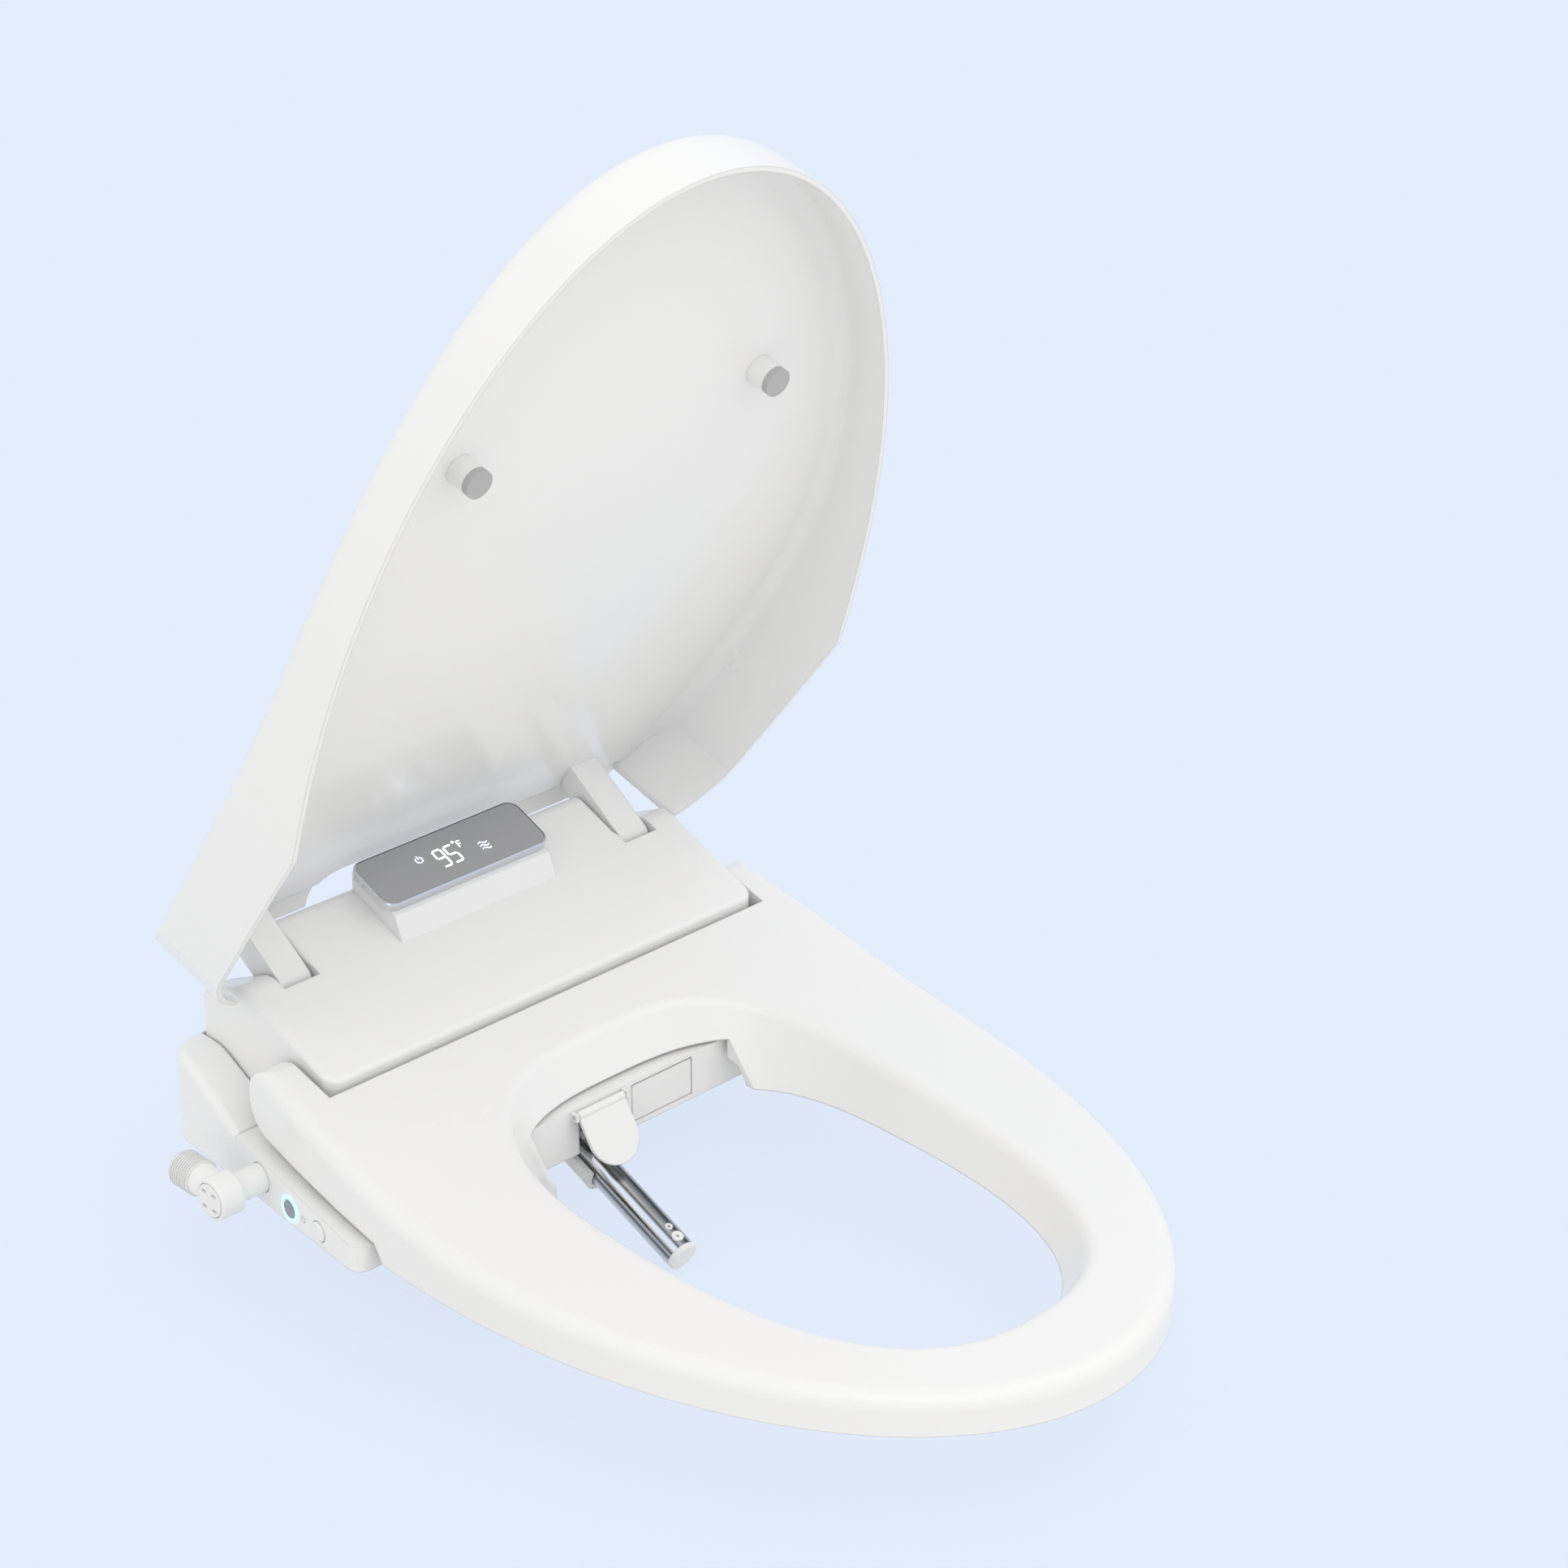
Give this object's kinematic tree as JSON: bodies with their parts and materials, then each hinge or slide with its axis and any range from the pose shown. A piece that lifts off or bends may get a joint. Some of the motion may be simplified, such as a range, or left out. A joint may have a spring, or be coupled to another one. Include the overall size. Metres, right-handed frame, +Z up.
{
  "type": "electric bidet seat",
  "caption": "Electric bidet toilet seat with heated ring, domed hinged lid, sliding wash wand, warm-air dryer, display and side controls.",
  "frame": {"origin": "midway between the two bowl bolts, in the plane of the toilet rim", "axes": "+Z up, -Y to the front tip of the ring, +X to the side away from the control arm"},
  "size_m": [0.412, 0.5468, 0.622],
  "materials": {
    "white_shell": "smooth glossy white moulding",
    "white_trim": "satin white moulding",
    "white_inner": "plain moulded",
    "display_frame": "polished bevel",
    "display_face": "satin grey face",
    "wand_chrome": "mirror polished tube",
    "pad_rubber": "soft grey rubber",
    "steel": "plain turned",
    "board": "circuit board",
    "motor_case": "plain case",
    "heater_foil": "thin foil",
    "tank": "moulded tank",
    "hose": "plain hose",
    "fan_plastic": "moulded fan",
    "light_ring": "translucent cyan ring",
    "button_grey": "satin grey cap"
  },
  "bodies": {
    "base": {"base_tray": "white_shell", "mounting_plate": "white_inner", "base_pads": "pad_rubber", "top_cover": "white_shell", "cover_screws": "steel", "display_bezel": "display_frame", "display_window": "display_face", "display_board": "board", "lid_pins": "steel", "lid_damper": "motor_case", "ring_damper": "motor_case", "nozzle_motor": "motor_case", "nozzle_cradle": "white_trim", "gate_pin": "steel", "door_pin": "steel", "dryer_blower": "white_inner", "dryer_motor": "motor_case", "dryer_heater": "heater_foil", "water_heater": "tank", "inlet_valve": "white_inner", "diverter_valve": "white_inner", "inlet_hose": "hose", "outlet_hose": "hose", "inlet_tee": "white_trim", "filter_plug": "white_trim", "filter_screen": "steel", "control_board": "board", "power_supply": "tank", "power_gland": "pad_rubber", "power_ring": "light_ring", "arm_board": "board"},
    "ring": {"ring_shell": "white_shell", "ring_bottom": "white_trim", "ring_heater": "heater_foil", "ring_bumpers": "pad_rubber", "ring_pins": "steel"},
    "lid": {"lid_shell": "white_shell", "lid_pads": "pad_rubber"},
    "wand": {"wand_tube": "wand_chrome", "wand_cap": "white_trim", "spray_discs": "white_trim", "wand_rack": "white_inner"},
    "pinion": {"nozzle_pinion": "white_inner"},
    "gate": {"nozzle_gate": "white_trim"},
    "door": {"dryer_door": "white_trim"},
    "power_key": {"power_button": "button_grey"},
    "wash_key": {"wash_button": "white_trim"},
    "fan": {"dryer_fan": "fan_plastic"}
  },
  "joints": [
    {"name": "ring_hinge", "type": "hinge", "parent": "base", "child": "ring", "pos_m": [0, -0.033, 0.052], "axis": [-1, 0, 0], "range_deg": [0, 72]},
    {"name": "lid_hinge", "type": "hinge", "parent": "base", "child": "lid", "pos_m": [0, 0.016, 0.088], "axis": [-1, 0, 0], "range_deg": [-74, 20]},
    {"name": "wand_slide", "type": "slide", "parent": "base", "child": "wand", "axis": [0, 0.9239, 0.3827], "range_m": [0, 0.074]},
    {"name": "pinion_spin", "type": "hinge", "parent": "base", "child": "pinion", "pos_m": [-0.02, -0.04193, 0.03953], "axis": [1, 0, 0], "range_deg": [0, 708]},
    {"name": "gate_hinge", "type": "hinge", "parent": "base", "child": "gate", "pos_m": [-0.02, -0.1208, 0.027], "axis": [-1, 0, 0], "range_deg": [0, 25]},
    {"name": "door_hinge", "type": "hinge", "parent": "base", "child": "door", "pos_m": [0.0275, -0.1166, 0.0256], "axis": [-1, 0, 0], "range_deg": [0, 55]},
    {"name": "power_press", "type": "slide", "parent": "base", "child": "power_key", "axis": [0.9956, -0.0936, 0], "range_m": [0, 0.0015], "stiffness_N_per_m": 600, "springref_m": -0.001},
    {"name": "wash_press", "type": "slide", "parent": "base", "child": "wash_key", "axis": [0.9956, -0.0936, 0], "range_m": [0, 0.0015], "stiffness_N_per_m": 600, "springref_m": -0.001},
    {"name": "fan_spin", "type": "hinge", "parent": "base", "child": "fan", "pos_m": [0.0275, -0.025, 0.02], "axis": [0, 0, 1], "continuous": true}
  ],
  "couplings": [
    {"joint": "pinion_spin", "follows": "wand_slide", "rad_per_m": 166.67}
  ]
}
